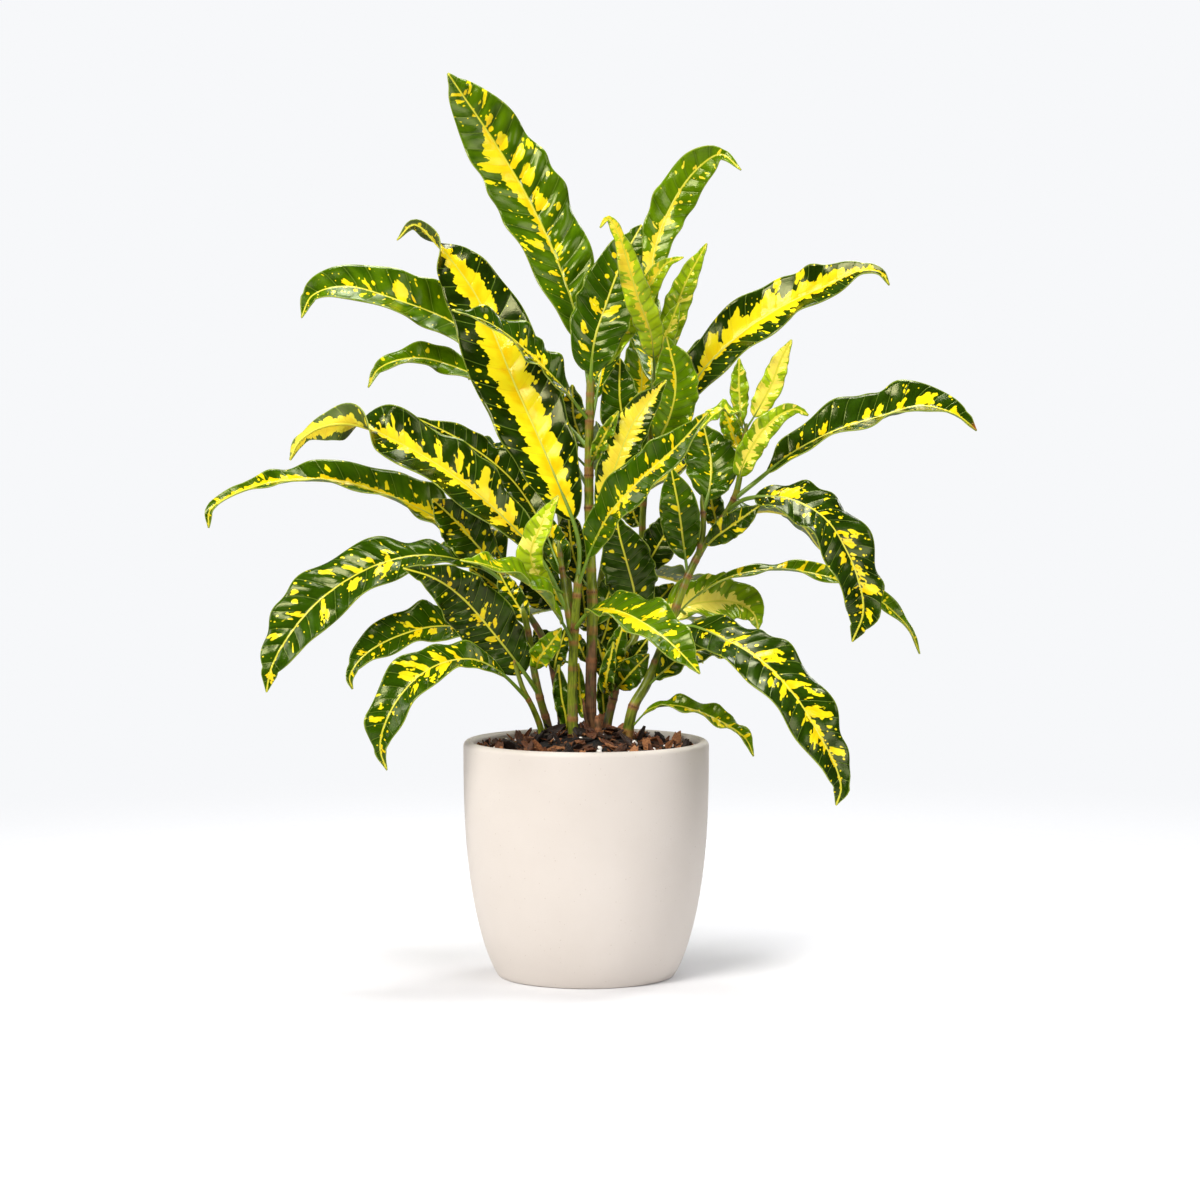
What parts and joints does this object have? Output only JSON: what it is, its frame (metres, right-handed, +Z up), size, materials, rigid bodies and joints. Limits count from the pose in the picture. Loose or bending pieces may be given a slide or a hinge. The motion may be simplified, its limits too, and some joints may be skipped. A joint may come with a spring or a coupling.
{
  "type": "potted croton",
  "caption": "Bushy croton with long glossy variegated leaves on upright stems, planted in bark soil in a round straight-rimmed stoneware pot with a flat base.",
  "frame": {"origin": "centre of the pot's flat base", "axes": "+Z up through the pot; the plant's front looks along -Y"},
  "size_m": [0.5002, 0.3203, 0.5873],
  "materials": {
    "leafy_stem": "glossy leaf blades, green with yellow along the midribs, on smooth green stems that turn woody and brown lower down",
    "woody_stem": "dry reddish bark with a cut end",
    "stoneware": "matt off-white with a fine speckle",
    "bark_soil": "damp dark bark mix with reddish chips and white perlite grains"
  },
  "bodies": {
    "root": {"leafy_stem_trunk": "leafy_stem", "leafy_stem_front": "leafy_stem", "leafy_stem_left_low": "leafy_stem", "leafy_stem_left": "leafy_stem", "leafy_stem_left_woody": "leafy_stem", "leafy_stem_right_tall": "leafy_stem", "leafy_stem_right": "leafy_stem", "leafy_stem_back_left": "leafy_stem", "leafy_stem_back_right": "leafy_stem", "cut_stub": "woody_stem", "pot": "stoneware", "soil": "bark_soil"}
  },
  "joints": []
}
